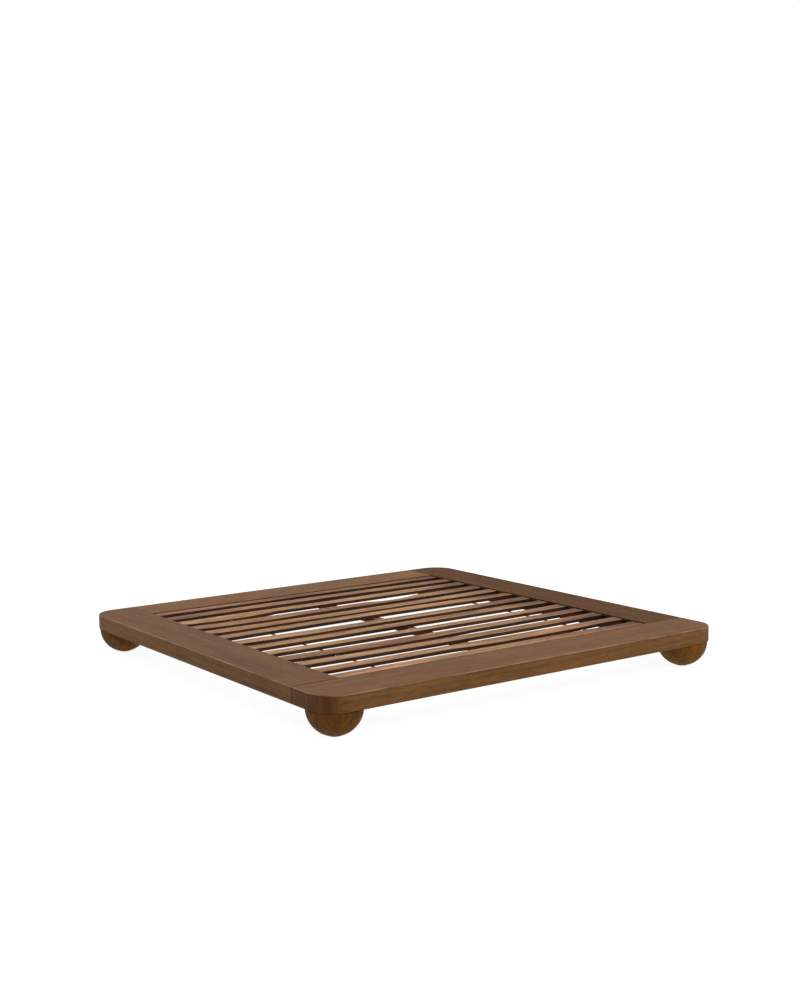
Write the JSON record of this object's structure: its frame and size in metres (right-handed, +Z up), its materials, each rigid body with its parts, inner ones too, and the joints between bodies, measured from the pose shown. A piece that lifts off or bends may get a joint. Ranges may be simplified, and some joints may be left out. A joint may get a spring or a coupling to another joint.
{
  "type": "slatted wooden bath mat",
  "caption": "Square slatted wooden duckboard for a bathroom floor: a broad round-cornered frame on half-ball feet, with thin parallel slats across it.",
  "frame": {"origin": "on the floor under the middle of the mat", "axes": "+X to the right along the front rail, +Y from the front rail to the back rail, +Z up"},
  "size_m": [0.6, 0.6, 0.0522],
  "materials": {
    "frame_wood": "satin brown oil over open grain",
    "slat_wood": "satin, lighter and more varied than the frame",
    "foot_wood": "turned and oiled, satin",
    "dowel_wood": "raw beech",
    "steel": "bronzed, dull",
    "rubber": "matt"
  },
  "bodies": {
    "root": {"back_rail": "frame_wood", "batten_pin_00": "steel", "batten_pin_01": "steel", "batten_pin_02": "steel", "batten_pin_03": "steel", "batten_pin_04": "steel", "batten_pin_05": "steel", "batten_pin_06": "steel", "batten_pin_07": "steel", "batten_pin_08": "steel", "batten_pin_09": "steel", "batten_pin_10": "steel", "batten_pin_11": "steel", "batten_pin_12": "steel", "centre_batten": "slat_wood", "dowel_back_left_1": "dowel_wood", "dowel_back_left_2": "dowel_wood", "dowel_back_right_1": "dowel_wood", "dowel_back_right_2": "dowel_wood", "dowel_front_left_1": "dowel_wood", "dowel_front_left_2": "dowel_wood", "dowel_front_right_1": "dowel_wood", "dowel_front_right_2": "dowel_wood", "foot_back_left": "foot_wood", "foot_back_right": "foot_wood", "foot_front_left": "foot_wood", "foot_front_right": "foot_wood", "foot_pad_back_left": "rubber", "foot_pad_back_right": "rubber", "foot_pad_front_left": "rubber", "foot_pad_front_right": "rubber", "foot_stud_back_left": "steel", "foot_stud_back_right": "steel", "foot_stud_front_left": "steel", "foot_stud_front_right": "steel", "front_rail": "frame_wood", "left_rail": "frame_wood", "left_tie_rod": "steel", "right_rail": "frame_wood", "right_tie_rod": "steel", "slat_00": "slat_wood", "slat_01": "slat_wood", "slat_02": "slat_wood", "slat_03": "slat_wood", "slat_04": "slat_wood", "slat_05": "slat_wood", "slat_06": "slat_wood", "slat_07": "slat_wood", "slat_08": "slat_wood", "slat_09": "slat_wood", "slat_10": "slat_wood", "slat_11": "slat_wood", "slat_12": "slat_wood"}
  },
  "joints": []
}
